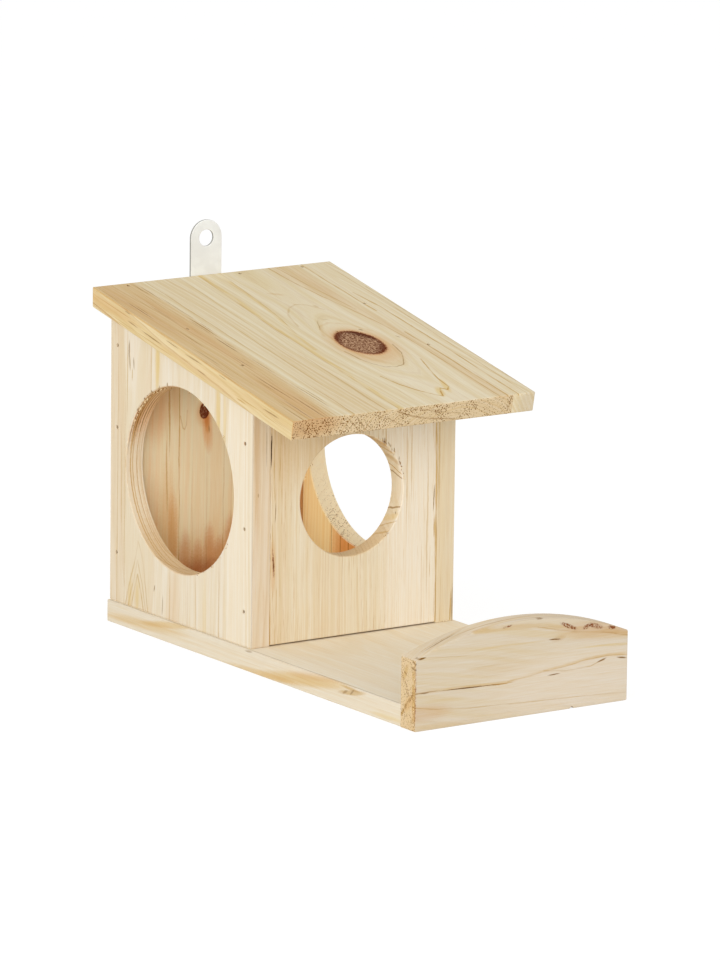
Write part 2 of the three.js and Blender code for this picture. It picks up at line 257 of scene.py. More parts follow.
# Marks of each board, in millimetres of its own axes. A streak runs between two points and tapers at
# both ends: (from a, from b, to a, to b, half width, softness, colour, strength). A line runs through
# points: (half width, colour, strength, (a, b), (a, b), ...). A group names the plane that it is drawn
# in, such as uv, and may be kept to a range of an axis.
ROOF_TOP = [
    (150, -57.5, -330, -58, 16.5, 0.35, TAN, 0.72),
    (10, -62, -75, -61, 5, 0.9, ORANGE, 0.22),
    (-15, -52, -115, -50, 3.2, 0.9, ORANGE, 0.28),
    (-120, -54, -205, -52, 6.5, 0.9, ORANGE, 0.3),
    (-80, -24, -280, -24, 13, 0.8, TAN, 0.25),
    (30, -29, -70, -30, 8, 0.9, TAN, 0.15),
    (40, 38, -52, 41, 8, 0.75, TAN, 0.5),
    (-15, 41.5, -105, 47, 4.2, 0.8, TAN, 0.42),
    (-75, 48.2, -320, 49.8, 3.6, 0.8, TAN, 0.5),
    (0, 46, -330, 22, 30, 0.9, PALE, 0.14),
    (-30, 12, -34.5, 19, 1.3, 0.9, TAN, 0.45),
    (-79.5, 10, -68, 15.8, 0.28, 0.5, DARK_GRAIN, 0.5),
    (-66.2, 18.8, -68.8, 22.4, 0.26, 0.5, DARK_GRAIN, 0.4),
    (-82.3, 29.6, -84.8, 30.8, 0.5, 0.5, BROWN, 0.75),
    (-81.5, 17.2, -84, 18, 0.4, 0.5, BROWN, 0.75),
    (-95, 42.3, -98, 43.4, 0.4, 0.5, DARK_GRAIN, 0.7),
    (-168.5, 20.4, -157, 24.4, 1.9, 0.9, YELLOW, 0.7),
    (-164, 26.6, -149, 31.6, 1.6, 0.9, YELLOW, 0.7),
    (-74, -45.6, -94, -45, 0.28, 0.6, BROWN, 0.75),
    (-148, -50.6, -178, -49.9, 0.28, 0.6, BROWN, 0.6),
    (-151, -57.2, -176, -56.8, 0.26, 0.6, BROWN, 0.6),
] + alike(
    0.6, DARK_GRAIN,
    (-2, -46.6, -17, -46, 0.26, 0.8),
    (-4, -44.4, -24, -43.8, 0.24, 0.7),
    (-22, -62, -45, -61.4, 0.28, 0.8),
    (-27, -60.5, -39, -60.2, 0.22, 0.6),
    (-20, -42.7, -52, -42, 0.24, 0.6),
    (-47, -44, -74, -43.4, 0.28, 0.85),
    (-51, -45.4, -70, -45, 0.22, 0.7),
    (-55, -42.2, -68, -41.9, 0.22, 0.65),
    (-78, -43.9, -90, -43.7, 0.22, 0.65),
    (-96, -50.2, -114, -49.6, 0.24, 0.6),
    (-100, -43.4, -122, -42.8, 0.24, 0.6),
    (-120, -53.6, -152, -52.8, 0.28, 0.8),
    (-127, -55.4, -141, -55, 0.22, 0.65),
    (-134, -42.2, -167, -40.4, 0.26, 0.75),
    (-139, -40, -160, -39.2, 0.22, 0.65),
    (-157, -62.2, -180, -61.6, 0.26, 0.7),
    (-60, -57.8, -84, -57.2, 0.24, 0.6),
    (-84, -63.2, -107, -62.6, 0.24, 0.6),
    (-29, -53.6, -54, -53.1, 0.22, 0.55),
) + alike(
    0.8, GRAIN,
    (-49.5, 25.6, -53, 26.6, 0.9, 0.35),
    (10, -38.8, -95, -37.2, 0.45, 0.6),
    (-55, -29, -150, -28.4, 0.45, 0.4),
    (-100, -16.6, -190, -16, 0.5, 0.5),
    (-130, -34.6, -190, -33.8, 0.4, 0.5),
    (10, -19.4, -60, -19.8, 0.45, 0.35),
)
ROOF_LINES = [
    (1.6, YELLOW, 0.62, (20, -6.6), (-30, -8), (-70, -9.5), (-110, -9), (-200, -8)),
    (0.45, GRAIN, 0.4, (20, -7.4), (-30, -9.2), (-70, -10.6), (-110, -10.2), (-200, -9.4)),
    (1.2, YELLOW, 0.5, (10, 3.5), (-40, 1), (-62, -1.5), (-80, -4.5), (-100, -6.5)),
    (0.35, GRAIN, 0.45, (10, 4.4), (-40, 1.9), (-62, -0.6), (-80, -3.8)),
    (0.4, GRAIN, 0.7, (5, 31), (-20, 33), (-40, 36.5), (-60, 41), (-80, 44.5), (-100, 46.5), (-140, 47.3),
     (-180, 47.3)),
    (0.34, GRAIN, 0.6, (5, 35), (-25, 38), (-60, 43.5)),
    (0.4, GRAIN, 0.8, (5, 50.2), (-50, 51.2), (-64, 52.2)),
    (0.45, GRAIN, 0.9, (-40, 54.6), (-60, 57.2), (-110, 58), (-180, 57.8)),
    (0.35, GRAIN, 0.6, (5, 62.6), (-50, 63.8), (-180, 62.4)),
    (0.4, DARK_GRAIN, 0.42, (-35, 65.6), (-100, 67), (-180, 66.9)),
    (0.45, GRAIN, 0.8, (-92, 50), (-130, 51.3), (-180, 51.8)),
    (0.34, DARK_GRAIN, 0.7, (-104, 34.6), (-115, 32.6), (-122, 28.8), (-128, 25), (-129.6, 20), (-128, 14.2),
     (-123.6, 10.8), (-117, 8.2), (-106, 6.2)),
    (0.46, GRAIN, 0.95, (-138, 5.2), (-150, 8.6), (-158, 12.8), (-165, 17.8), (-167.8, 20.8), (-162.6, 22.8),
     (-158.6, 25), (-161.4, 27.2), (-158, 30), (-148, 31), (-138, 33.4), (-124, 37.4)),
    (0.6, GRAIN, 0.38, (-72, 2.5), (-58, 6), (-50, 11.5), (-46.5, 17), (-48.5, 22.5), (-56, 27.5)),
    (1, TAN, 0.35, (-86, 7.5), (-75, 12.5), (-71.5, 20), (-76, 28.5), (-86, 34.5)),
]
ROOF_SIDE = [
    (150, -5, -330, -5, 9, 0.3, STRAW, 0.62),
    (20, -4.4, -42, -4, 2.6, 0.9, ORANGE, 0.3),
    (-58, -6, -142, -6.6, 2, 0.9, ORANGE, 0.16),
    (-88, -3, -185, -4, 1.6, 0.9, TAN, 0.25),
    (-128, -6.6, -137, -6.7, 0.28, 0.6, GRAIN, 0.8),
] + alike(
    0.6, BROWN,
    (-33, -4.8, -42, -5.1, 0.35, 0.6),
    (-46, -5.1, -63, -5.5, 0.35, 0.7),
    (-66, -1.9, -77, -2.1, 0.3, 0.6),
    (-83, -2.4, -98, -2.1, 0.35, 0.55),
    (-94, -5.8, -102, -6, 0.3, 0.5),
    (-112, -1.5, -119, -1.6, 0.28, 0.45),
    (-151, -3.4, -164, -3.1, 0.35, 0.6),
    (-29, -1.1, -34, -1.2, 0.3, 0.55),
)
ROOF_END = [
    (-76, -3.2, -41, -3.2, 6, 0.9, HONEY, 0.9),
    (-44, -8, -8, -8, 3.2, 1, PALE, 0.25),
    (57, -5, 90, -5, 9, 0.3, FROST, 0.8),
    (-66, -1.2, -58, -7.5, 1, 0.9, BROWN, 0.35),
    (-37, -1.5, -30, -9.5, 0.35, 0.6, BROWN, 0.6),
    (-33, -1, -26, -9.5, 0.35, 0.6, BROWN, 0.6),
    (-29, -2.5, -23, -9.5, 0.3, 0.6, BROWN, 0.5),
]
ROOF_END_LINES = [
    (0.45, BROWN, 1, (-10, -1.3), (-4, -3.8), (4, -5.9), (12, -7.3), (23, -8.4)),
    (0.34, BROWN, 0.75, (-22, -1.8), (-14, -4.6), (-6, -8.8)),
    (0.34, BROWN, 0.65, (2, -1.2), (14, -4), (26, -6)),
]
LEFT_FACE = [
    # Painted shade: the whole outside face is darkened, while the panel's inside face keeps the board's
    # lighter colours
    (-400, 0, 600, 0, 150, 0.2, LEFT_OUTSIDE_SHADE, 1),
    (-90, 58, 260, 57, 8.6, 0.25, TAN, 0.26),
    (-20, 49.4, 120, 49, 0.32, 0.6, GRAIN, 0.55),
    (-10, 55.8, 140, 55.4, 0.35, 0.8, GRAIN, 0.5),
    (-120, -49, 260, -50, 12, 0.6, PALE, 0.15),
    (-20, -33.2, 60, -32.8, 0.34, 0.8, GRAIN, 0.55),
    (98, -31.6, 134, -31, 1.8, 0.9, YELLOW, 0.75),
    (92, -36.6, 134, -36.8, 1.2, 0.9, YELLOW, 0.6),
    (129.6, 46.2, 138.6, 45.8, 0.6, 0.9, BROWN, 0.7),
    (124.6, 45.2, 131.6, 45.6, 0.5, 0.8, DARK_GRAIN, 0.7),
    (125.6, 41.8, 131.2, 42.2, 0.5, 0.9, BROWN, 0.6),
    (120, 43.4, 126, 43.2, 0.35, 0.8, GRAIN, 0.8),
    (118, 21.6, 152, 20.8, 2, 0.9, YELLOW, 0.8),
    (112, 27, 146, 26, 0.5, 0.9, GRAIN, 0.4),
    (100, 47.6, 146, 47.2, 0.4, 0.8, GRAIN, 0.6),
    (21.6, 22.9, 25, 22.2, 0.4, 0.6, BROWN, 0.7),
    (11.4, 15.6, 21, 15.2, 0.55, 0.9, BROWN, 0.45),
    (0, 7, 36, 5, 5.5, 1, ORANGE, 0.22),
    (6, -14, 36, -13, 0.5, 0.9, GRAIN, 0.35),
    (4, 45, 24, 43.5, 1.6, 0.9, YELLOW, 0.5),
    (8, 38, 24, 37.6, 1.8, 0.9, YELLOW, 0.5),
    (-20, 9.8, 36, 9, 0.5, 0.9, GRAIN, 0.45),
    (-20, -5.5, 36, -6.2, 0.45, 0.9, GRAIN, 0.35),
    (-20, -21, 40, -21, 1.4, 0.9, YELLOW, 0.4),
    (40, 52.4, 100, 52, 0.35, 0.9, GRAIN, 0.45),
]
# The right panel's outside face is paled, covering the golden painted reflected light that the board's
# colours carry for its inside face
RIGHT_OUTSIDE = [(-400, 0, 600, 0, 150, 0.2, PALE, 0.45)]
# Painted shade in the torn notches round the left opening's rim and the front opening's rim
LEFT_RIM = notch_shade_flecks((79, 0), 47.3, 45, 24, 76, 18, 5, 0.52)
FRONT_RIM = notch_shade_flecks((78, -1), 29.2, 29.2, 10, 62, 9, 6, 0.22)
LEFT_LINES = [
    (0.5, GRAIN, 0.45, (10, 48.4), (26, 42.8), (36, 39.2), (43.4, 37.4), (41, 35.6), (32, 32.2), (10, 28.2)),
    (0.5, GRAIN, 0.4, (10, 45.8), (22, 41.6), (34, 37.8), (24, 33.6), (10, 30)),
    (0.55, GRAIN, 0.55, (10, 43.2), (20, 40.2), (27.2, 37.6), (20, 34.8), (10, 32)),
]
LEFT_BORE = [
    (84, -3.8, 130, -3.8, 0.3, 0.6, BROWN, 0.75),
    (94, 1.2, 130, 1.2, 0.4, 0.6, BROWN, 0.7),
    (140, 0, 92, 0, 12, 0.9, APRICOT, 0.5),
] + alike(
    0.8, GRAIN,
    (-100, -2.2, 260, -2.2, 0.32, 0.8),
    (-100, -0.9, 260, -0.9, 0.26, 0.7),
    (-100, 1.4, 260, 1.4, 0.26, 0.7),
    (-100, 3.6, 260, 3.6, 0.22, 0.5),
) + alike(
    0.6, DARK_GRAIN,
    (90, -2.8, 130, -2.8, 0.34, 0.95),
    (86, -1.6, 130, -1.6, 0.38, 1),
    (92, -0.2, 130, -0.2, 0.34, 0.95),
    (97, 2.7, 130, 2.7, 0.34, 0.9),
    (104, 4, 130, 4, 0.34, 0.8),
)
FRONT_FACE = [
    (-120, -44, 260, -43, 8, 0.8, TAN, 0.24),
    (-120, -16, 260, -16, 9, 0.9, TAN, 0.12),
    (-120, 34, 260, 34, 19, 0.8, MILK, 0.62),
    (95, -46.9, 112, -46.7, 0.34, 0.5, BLACK, 1),
    # Painted shadow of the roof's eave: a tan wash over the front face's upper left
    (150, -30, 84, -30, 34, 0.9, TAN, 0.4),
    (69, -44.6, 79, -44.2, 0.24, 0.6, BROWN, 0.7),
    (43, -44.8, 56.5, -45.6, 0.62, 0.7, BARK, 0.9),
    (46, -45, 52.5, -45.3, 0.4, 0.6, BROWN, 0.8),
    (36, -45.2, 62, -45.6, 1.4, 0.9, ORANGE, 0.45),
    (47, -47.4, 56, -47.3, 0.45, 0.6, BROWN, 0.9),
    (64.5, 44.8, 78, 45.2, 0.28, 0.6, BROWN, 0.9),
    (52, 45.4, 62, 45.6, 0.35, 0.7, GRAIN, 0.9),
    (-20, 39, 60, 38.4, 0.4, 0.8, GRAIN, 0.2),
    (20, 41.6, 104, 41.2, 0.4, 0.8, GRAIN, 0.5),
    (60, 29.6, 112, 29.6, 0.35, 0.8, GRAIN, 0.55),
    (70, 32, 112, 32.2, 0.35, 0.8, GRAIN, 0.55),
    (92, 17, 112, 17.4, 0.35, 0.8, GRAIN, 0.6),
]
FRONT_LINES = [
    (0.35, YELLOW, 0.9, (0, -47.6), (60, -48), (112, -48.2)),
    (0.3, GRAIN, 0.9, (0, -46.8), (40, -47), (64, -47.2)),
    (0.6, GRAIN, 0.9, (0, 46.8), (60, 46.4), (112, 46)),
]
FRONT_BORE = [
    (86.4, 9, 80.8, -9, 0.42, 0.7, DARK_GRAIN, 0.75),
    (90.4, 9, 82.6, -9, 0.34, 0.7, GRAIN, 0.95),
    (95, 9, 89, -9, 1.6, 0.9, GRAIN, 0.5),
    (98.8, 9, 94, -9, 0.6, 0.9, GRAIN, 0.7),
    (102.6, 9, 98.4, -9, 1.8, 0.9, GRAIN, 0.6),
    (65.9, 9, 70, -9, 0.46, 0.7, DARK_GRAIN, 0.75),
    (56.8, 9, 63.8, -9, 0.32, 0.8, GRAIN, 0.6),
    (53.4, 9, 59.4, -9, 0.45, 0.8, GRAIN, 0.6),
    (66.4, -2, 65.2, -3, 0.35, 0.7, BROWN, 0.6),
    (61, 9, 66, -9, 1.6, 0.9, YELLOW, 0.5),
]
EDGE_MARKS = [
    (-200, 0, 330, 0, 12, 0.2, SHADE, 0.95),
    (150, -3.2, 60, -2.2, 1.8, 0.9, TAN, 0.55),
    (116, 2.4, 96, 2.6, 0.32, 0.6, DARK_GRAIN, 0.45),
    (84, -2, 82, -1.9, 0.35, 0.6, DARK_GRAIN, 0.5),
    (40, 1.5, 20, 1.8, 0.5, 1, TAN, 0.3),
]
RIGHT_EDGE = [
    (8, 4.1, 29, 4.4, 0.42, 0.7, BROWN, 0.6),
    (6, 3, 26, 3.6, 0.35, 0.6, GRAIN, 0.9),
    # Painted shade: the whole front edge of the right panel is darkened
    (-200, 0, 330, 0, 12, 0.2, RIGHT_EDGE_SHADE, 0.95),
    (-30, -1.6, 130, -2.5, 1.4, 0.9, YELLOW, 0.1),
    (0, 1.2, 130, 1.8, 0.9, 0.9, TAN, 0.12),
    (60, -4, 125, -4.2, 0.5, 0.9, GRAIN, 0.6),
]
RIGHT_INSIDE = [
    # Painted reflected light: a golden wash over the right panel's inside face
    (-120, 30, 220, 30, 40, 0.4, WARM_REFLECTED_LIGHT, 0.4),
    # Painted shade: the inside face turns darker and more orange towards the bottom, in a band up its middle
    (-60, 8, 76, 14, 15, 0.8, LOW_INSIDE_SHADE, 0.85),
    (-20, 27, 78, 28, 0.35, 0.7, DARK_GRAIN, 0.6),
    (-20, 19, 72, 20, 0.35, 0.7, DARK_GRAIN, 0.7),
    (-20, 12, 70, 13, 0.35, 0.7, DARK_GRAIN, 0.7),
]
BACK_INSIDE = [
    (-60, -42, 80, -40, 5, 0.9, EMBER, 0.3),
    (-40, -30.6, 72, -31.4, 7, 0.7, WHEAT, 0.55),
    (24, -27.5, 60, -28, 2.6, 0.9, ORANGE, 0.55),
    (88, -38, 128, -36, 8, 0.9, EMBER, 0.46),
    (94, -26.6, 130, -26.6, 2.4, 0.8, ORANGE, 0.45),
    (80, -30, 120, -30.4, 0.5, 0.8, GRAIN, 0.7),
    (50, -31, 92, -31.6, 0.4, 0.8, GRAIN, 0.6),
    (80, -7.6, 102, -9.8, 2.6, 1, EMBER, 0.65),
    (88, -8.4, 98, -9.4, 1.4, 0.9, ORANGE, 0.8),
    (88, -7.6, 92, -7.8, 0.3, 0.7, BROWN, 0.5),
    (-20, -17.2, 80, -17, 0.36, 0.9, GRAIN, 0.3),
    (-20, -9, 84, -8.6, 0.36, 0.9, GRAIN, 0.25),
    (-20, 0.8, 100, 1, 0.34, 0.9, GRAIN, 0.4),
    (-20, 5.5, 90, 5.2, 0.34, 0.9, GRAIN, 0.35),
    (-20, 20, 160, 24, 6, 0.9, ORANGE, 0.35),
    # Painted shade: the back panel's right end, in the corner by the right panel, is darkened
    (0, 42, 160, 44.5, 9, 0.4, CORNER_SHADE, 0.8),
    (4, -30, 4, 24, 34, 1, ORANGE, 0.6),
    (12, -32, 14, 2, 13, 1, SIENNA, 0.75),
    (14, -21, 40, -21, 3.4, 1, RUST, 0.5),
    (14, -14, 35, -14, 3.6, 1, RUST, 0.45),
    (14, -7, 42, -7, 3.4, 1, RUST, 0.5),
    (14, -1, 36, -1, 3.2, 1, RUST, 0.55),
    (16, 6, 46, 6, 4.6, 1, RUST, 0.6),
    (10, 18, 140, 16, 6, 1, ORANGE, 0.25),
]
BACK_LINES = [
    (0.34, GRAIN, 0.85, (0, -24.4), (120, -24.6)),
    (0.4, GRAIN, 0.5, (98, -24), (92, -22.6), (91, -21.4), (93, -20.6), (100, -20.2)),
]
BASE_TOP = [
    # Painted shade: a brown band on the base's top, under the front panel's lower edge, that darkens the gap
    # beneath it
    (3.2, -46.4, 3.2, 46.4, 1.3, 0.3, BROWN, 0.5),
    (100, -31, -150, -32, 4.4, 1, TAN, 0.12),
    (100, -44.5, -150, -48.6, 1.8, 1, TAN, 0.14),
]
BASE_SIDE = [
    # Painted shade: the base's whole left side face is darkened, not its top
    (-400, 0, 400, 0, 60, 0.2, BASE_SIDE_SHADE, 1),
    (128, -2.2, 56, 1.4, 2.2, 0.9, GOLD, 0.62),
    (92, 0.4, 48, 6.6, 1.6, 0.9, GOLD, 0.75),
    (18, -4.6, -40, -2.6, 1.6, 0.9, GOLD, 0.65),
    (-10, -3.6, -82, 5.2, 3, 0.9, GOLD, 0.85),
    (-34, 2, -78, 6.4, 1.8, 0.9, ORANGE, 0.25),
    (-73, 0.8, -96, 4.6, 1.3, 0.6, GRAIN, 0.6),
    (-76, 4.4, -90, 4.2, 0.7, 0.9, GRAIN, 0.6),
    (-77, 1, -81, 3, 0.6, 0.8, BROWN, 0.45),
    (-83, 1.6, -86, 4.4, 0.6, 0.8, BROWN, 0.45),
    (-2, 5, 4, 4.4, 0.5, 0.8, BROWN, 0.5),
    (-62, -5.6, -72, -5.6, 0.35, 0.7, BROWN, 0.6),
    (-100, -3, -128, -2.2, 1.1, 0.9, YELLOW, 0.5),
    (-58, -5.4, -72, -5, 0.5, 0.8, GRAIN, 0.6),
]
LIP_TONE = [
    (-400, 0, 400, 0, 150, 0.2, SOFT, 1),
    (-20, -7, 90, -9, 17, 0.9, ROSE, 0.7),
]
LIP_FACE = [
    (-64, -2.3, -46, -2.4, 0.34, 0.8, DARK_GRAIN, 0.6),
    (-56.5, -2.6, -51.5, -2.7, 0.32, 0.7, BROWN, 0.6),
    (-46, -2.7, -12, -3.5, 0.3, 0.6, BROWN, 0.8),
    (-42, -2.9, -22, -3.4, 0.16, 0.5, BROWN, 0.8),
    (-20, -3.3, -5, -3.6, 0.35, 0.8, GRAIN, 0.9),
    (14.4, -2.9, 21, -2.5, 0.3, 0.8, BROWN, 0.95),
    (42, -0.2, 47, 1.4, 0.42, 0.8, BROWN, 0.9),
    (52.8, 1, 58, 0.2, 0.42, 0.8, BROWN, 0.9),
    (14.6, 13.9, 21.4, 13.5, 0.32, 0.7, BROWN, 1),
    (16, 13.2, 24, 14.4, 1.3, 0.9, TAN, 0.5),
    (-11, 22.4, -6.2, 23.2, 0.55, 0.8, BARK, 0.95),
    (-16, 25, 4, 25.6, 0.4, 0.8, GRAIN, 0.8),
    (7.6, 23.9, 12.2, 24.4, 0.5, 0.8, BROWN, 0.65),
    (-50, 13.4, -30, 11.8, 0.26, 0.9, GRAIN, 0.3),
    (-28, 14.2, 10, 13.4, 0.6, 0.9, YELLOW, 0.35),
    (-34, 4, 14, 4.6, 2.4, 1, GOLD, 0.18),
    (-60, -6.6, -30, -7.6, 0.8, 0.9, YELLOW, 0.25),
    (-70, -12, -40, -12, 3.6, 1, ORANGE, 0.35),
    (-66, -19, -20, -19.6, 1.4, 0.9, GOLD, 0.3),
    (30, 8, 66, 6.5, 0.6, 0.9, YELLOW, 0.5),
    (-57.8, 13.3, -53.6, 13.9, 0.46, 0.7, BROWN, 1),
    (28.2, -20.5, 28.7, -24.1, 0.75, 0.6, BROWN, 1),
    (-59.4, -22, -59.2, 15, 0.4, 0.8, GRAIN, 0.8),
]
LIP_LINES = [
    (0.8, GOLD, 0.6, (-62, -2), (-8, -2.9), (4, -1.6), (20, 0.4), (34, 2), (48, 2.9), (62, 1.9)),
    (0.26, GRAIN, 0.5, (-8, -2.9), (4, -1.9), (20, 0), (34, 1.7), (48, 2.5), (62, 1.5)),
    (0.28, GRAIN, 0.55, (12, -0.4), (24, -1.7), (38, -1.4), (46, 0.6)),
    (1.5, GOLD, 0.6, (-26, 22.6), (-6, 22.2), (14, 20), (30, 16.6), (46, 14.6), (62, 10.8)),
    (0.28, GRAIN, 0.45, (8, 20.2), (30, 15.6), (46, 13.4), (62, 10)),
    (0.28, GRAIN, 0.42, (-62, -8.4), (-50, -10.4), (-30, -12.4), (0, -13.6), (62, -16.2)),
]
BARK_MARKS = [
    (20.6, 20.8, 30.4, 16.8, 1.05, 0.4, BARK, 1),
    (33, 16.4, 38.2, 18.6, 1.1, 0.4, BARK, 1),
    (36.4, 18.4, 44.6, 15.9, 1.4, 0.4, BARK, 1),
    (47.6, 15.7, 52, 14.9, 1, 0.4, BARK, 1),
    (22, 16.8, 66, 13.5, 4.4, 1, ORANGE, 0.36),
]
LIP_TOP = [
    (-64, -6, -26, -5, 7, 1, LINEN, 0.35),
    (-52, -7.6, -33, -5, 0.36, 0.7, BROWN, 0.75),
    (-54, -6.4, -30, -3.6, 0.26, 0.9, GRAIN, 0.6),
    (-36, -6.8, 10, -5.2, 0.4, 0.9, GRAIN, 0.7),
    (-10, -8.8, 50, -7.6, 0.4, 0.9, GRAIN, 0.6),
    (5, -4, 60, -3.2, 0.35, 0.9, GRAIN, 0.5),
]
LIP_END = [
    (-14.6, -0.2, -10.4, -3.4, 0.7, 0.6, DARK_GRAIN, 1),
    (-10.6, -3.2, -7.6, -5.2, 0.8, 0.6, BROWN, 1),
    (-7.8, -5, -2.6, -10.6, 0.7, 0.6, BROWN, 0.85),
    (2.6, -2, 9.6, -5.4, 1.3, 0.9, GRAIN, 0.7),
    (-12, -3, -4, -9, 2.2, 0.9, ORANGE, 0.65),
    (-22, -11.1, 15, -11.1, 0.55, 0.5, BARK, 0.8),
    (9.4, -7.6, 8.4, -11.8, 0.6, 0.6, BLACK, 0.85),
    (12.4, -9.2, 11, -11.8, 0.6, 0.6, BLACK, 0.8),
]

# Where a group of marks shows: on which range of an axis, and with bore first only inside an opening
PANEL_FRONT = ("w", -6, -3)
PANEL_FACE = ("w", -6, -4.7)
PANEL_RIM = ("w", -6, -4.4)
PANEL_EDGE = ("v", -62, -60.4)
ROOF_UPPER = ("w", -0.7, 1)
ROOF_LOW_END = ("u", -190, -175.2)
LIP_FRONT = ("w", -13, -9)

# Wood of each board. grain, across and through are its own axes u, v and w, and origin is their zero
# point. pith is the tree's middle in (v, w); lean is how it wanders along the grain; ring is a year's
# growth in millimetres. early and warm are the two colours of its pale wood and late that of its rings,
# which show as ring_contrast says. hair gives how dark and how fine the hairlines are, how short, and how
# rare; busy is the middle and half width of the stretch where they crowd. Names with end are for the end
# grain, whose pores are dots: end_from is how squarely a face must look along the grain to show it, and
# dots_below the range of u over which the dots fade upwards. Names with cut are for the sawn openings. A
# knot is (u, v, half length, half width, halo, how dark). strip is the edge and slant of a strip of other
# wood, glued on.
BOARDS = {
    "roof_board": dict(
        grain=UP_THE_ROOF, across=AXIS_X, through=OFF_THE_ROOF, origin=point(0, 248, 163), seed=3.0,
        pith=(19, -42), lean=(-0.03, 0.02), ring=1.55, ring_contrast=0.40,
        early=0xE6DCC2, late=0xC09A62, warm=0xDFD0AB,
        hair=(0.62, 1.7, 0.022, 0.61), busy=(-56, 15),
        end_tone=0xD0B48A, end_dots=1.0, dot_sizes=(0.20, 0.37),
        marks=[(ROOF_TOP, "uv", ROOF_UPPER), (ROOF_LINES, "uv", ROOF_UPPER),
               (ROOF_SIDE, "uw", ("v", -70, -67.2)), (ROOF_END, "vw", ROOF_LOW_END),
               (ROOF_END_LINES, "vw", ROOF_LOW_END)],
        knots=[(-98.0, 20.4, 15.0, 11.0, 1.0, 0.0)], strip=(58.7, 0.02)),
    "lip_board": dict(
        grain=AXIS_X, across=AXIS_Z, through=AXIS_Y, origin=point(0, 0, 20), seed=11.0,
        pith=(-60, 80), lean=(-0.06, 0.05), ring=3.0, ring_contrast=0.14,
        early=0xE3D7C5, late=0xCFB189, warm=0xE1D1B5,
        hair=(0.22, 1.8, 0.03, 0.64),
        end_tone=0xC8A870, end_dots=0.60, end_rings=0.25,
        marks=[(LIP_TONE, "uv", ("w", -13, -11.1)), (LIP_FACE, "uv", LIP_FRONT),
               (LIP_LINES, "uv", LIP_FRONT), (BARK_MARKS, "uv", LIP_FRONT),
               (LIP_TOP, "uw", ("w", -10.6, 1)), (LIP_END, "vw", ("u", -60, -58.4))]),
    "base_board": dict(
        grain=AXIS_Y, across=AXIS_X, through=AXIS_Z, origin=point(0, 124, 5), seed=23.0,
        pith=(-20, -95), lean=(0.03, 0.01), ring=3.4, ring_contrast=0.09,
        early=0xF2EBDB, late=0xE0CAA0, warm=0xF0E6D1,
        hair=(0.18, 1.4, 0.03, 0.64),
        end_tone=0xD9B882, end_dots=0.6,
        marks=[(BASE_TOP, "uv", ("w", 5.2, 7)), (BASE_SIDE, "uw", ("v", -60, -57.4))]),
    "left_side_panel": dict(
        grain=AXIS_Z, across=AXIS_Y, through=AXIS_X, origin=point(-52, 186, 0), seed=31.0,
        pith=(36, 62), lean=(0.01, -0.02), ring=2.1, ring_contrast=0.20,
        early=0xF5EDDE, late=0xDDB880, warm=0xF0E4CC,
        hair=(0.30, 1.8, 0.03, 0.66),
        cut_pale=0.50, cut_tone=0xFFEDD0, cut_rings=0.16,
        end_tone=0xE2BC84, end_dots=0.1,
        marks=[(LEFT_FACE, "uv", PANEL_FACE), (LEFT_LINES, "uv", PANEL_FACE),
               (LEFT_RIM, "uv", PANEL_RIM), (LEFT_BORE, "uw", ("bore", "v", -55, 54)),
               (EDGE_MARKS, "uw", PANEL_EDGE)]),
    "right_side_panel": dict(
        grain=AXIS_Z, across=AXIS_Y, through=AXIS_X, origin=point(52, 186, 0), seed=43.0,
        pith=(-40, 40), lean=(-0.02, 0.03), ring=2.4, ring_contrast=0.3,
        # The golden early and warm colours are partly the wood's own and partly painted reflected light, for
        # the shaded inside face; RIGHT_OUTSIDE pales the outside face again
        early=0xFFEFC8, late=0xDEAE6C, warm=0xFCE6B6,
        hair=(0.4, 1.8, 0.03, 0.63),
        cut_pale=0.8, cut_tone=0xFFF0D0, cut_rings=-0.25,
        end_tone=0xFFEFCC, end_dots=0.65, end_rings=0.25, end_from=(0.10, 0.40),
        dot_sizes=(0.14, 0.34), dots_below=(52, 63),
        marks=[(RIGHT_EDGE, "uw", PANEL_EDGE), (RIGHT_INSIDE, "uv", PANEL_RIM),
               (RIGHT_OUTSIDE, "uv", ("w", 4.7, 6))]),
    "front_panel": dict(
        grain=AXIS_Z, across=AXIS_X, through=AXIS_Y, origin=point(0, 130, 0), seed=53.0,
        pith=(-150, 60), lean=(0.004, 0.006), ring=1.5, ring_contrast=0.42,
        early=0xE6DCC8, late=0xCFAC76, warm=0xE1D4B8,
        hair=(0.75, 2.3, 0.05, 0.59),
        cut_pale=0.25, cut_tone=0xFFEFD2, cut_rings=-0.30,
        end_tone=0xE6C490, end_dots=0.15,
        marks=[(FRONT_FACE, "uv", PANEL_FRONT), (FRONT_LINES, "uv", PANEL_FRONT),
               (FRONT_RIM, "uv", PANEL_RIM), (FRONT_BORE, "uw", ("bore", "v", -40, 40))]),
    "back_panel": dict(
        grain=AXIS_Z, across=AXIS_X, through=AXIS_Y, origin=point(0, 243, 0), seed=67.0,
        pith=(20, 70), lean=(0.03, 0.02), ring=2.9, ring_contrast=0.12,
        early=0xFFF2D2, late=0xE8BC80, warm=0xFFEBC6,
        hair=(0.22, 1.8, 0.03, 0.64),
        end_tone=0xD6A468, end_dots=0.6,
        marks=[(BACK_INSIDE, "uv", PANEL_FRONT), (BACK_LINES, "uv", PANEL_FRONT)],
        knots=[(99.0, -10.6, 3.8, 2.7, 1.4, 0.72)]),
}


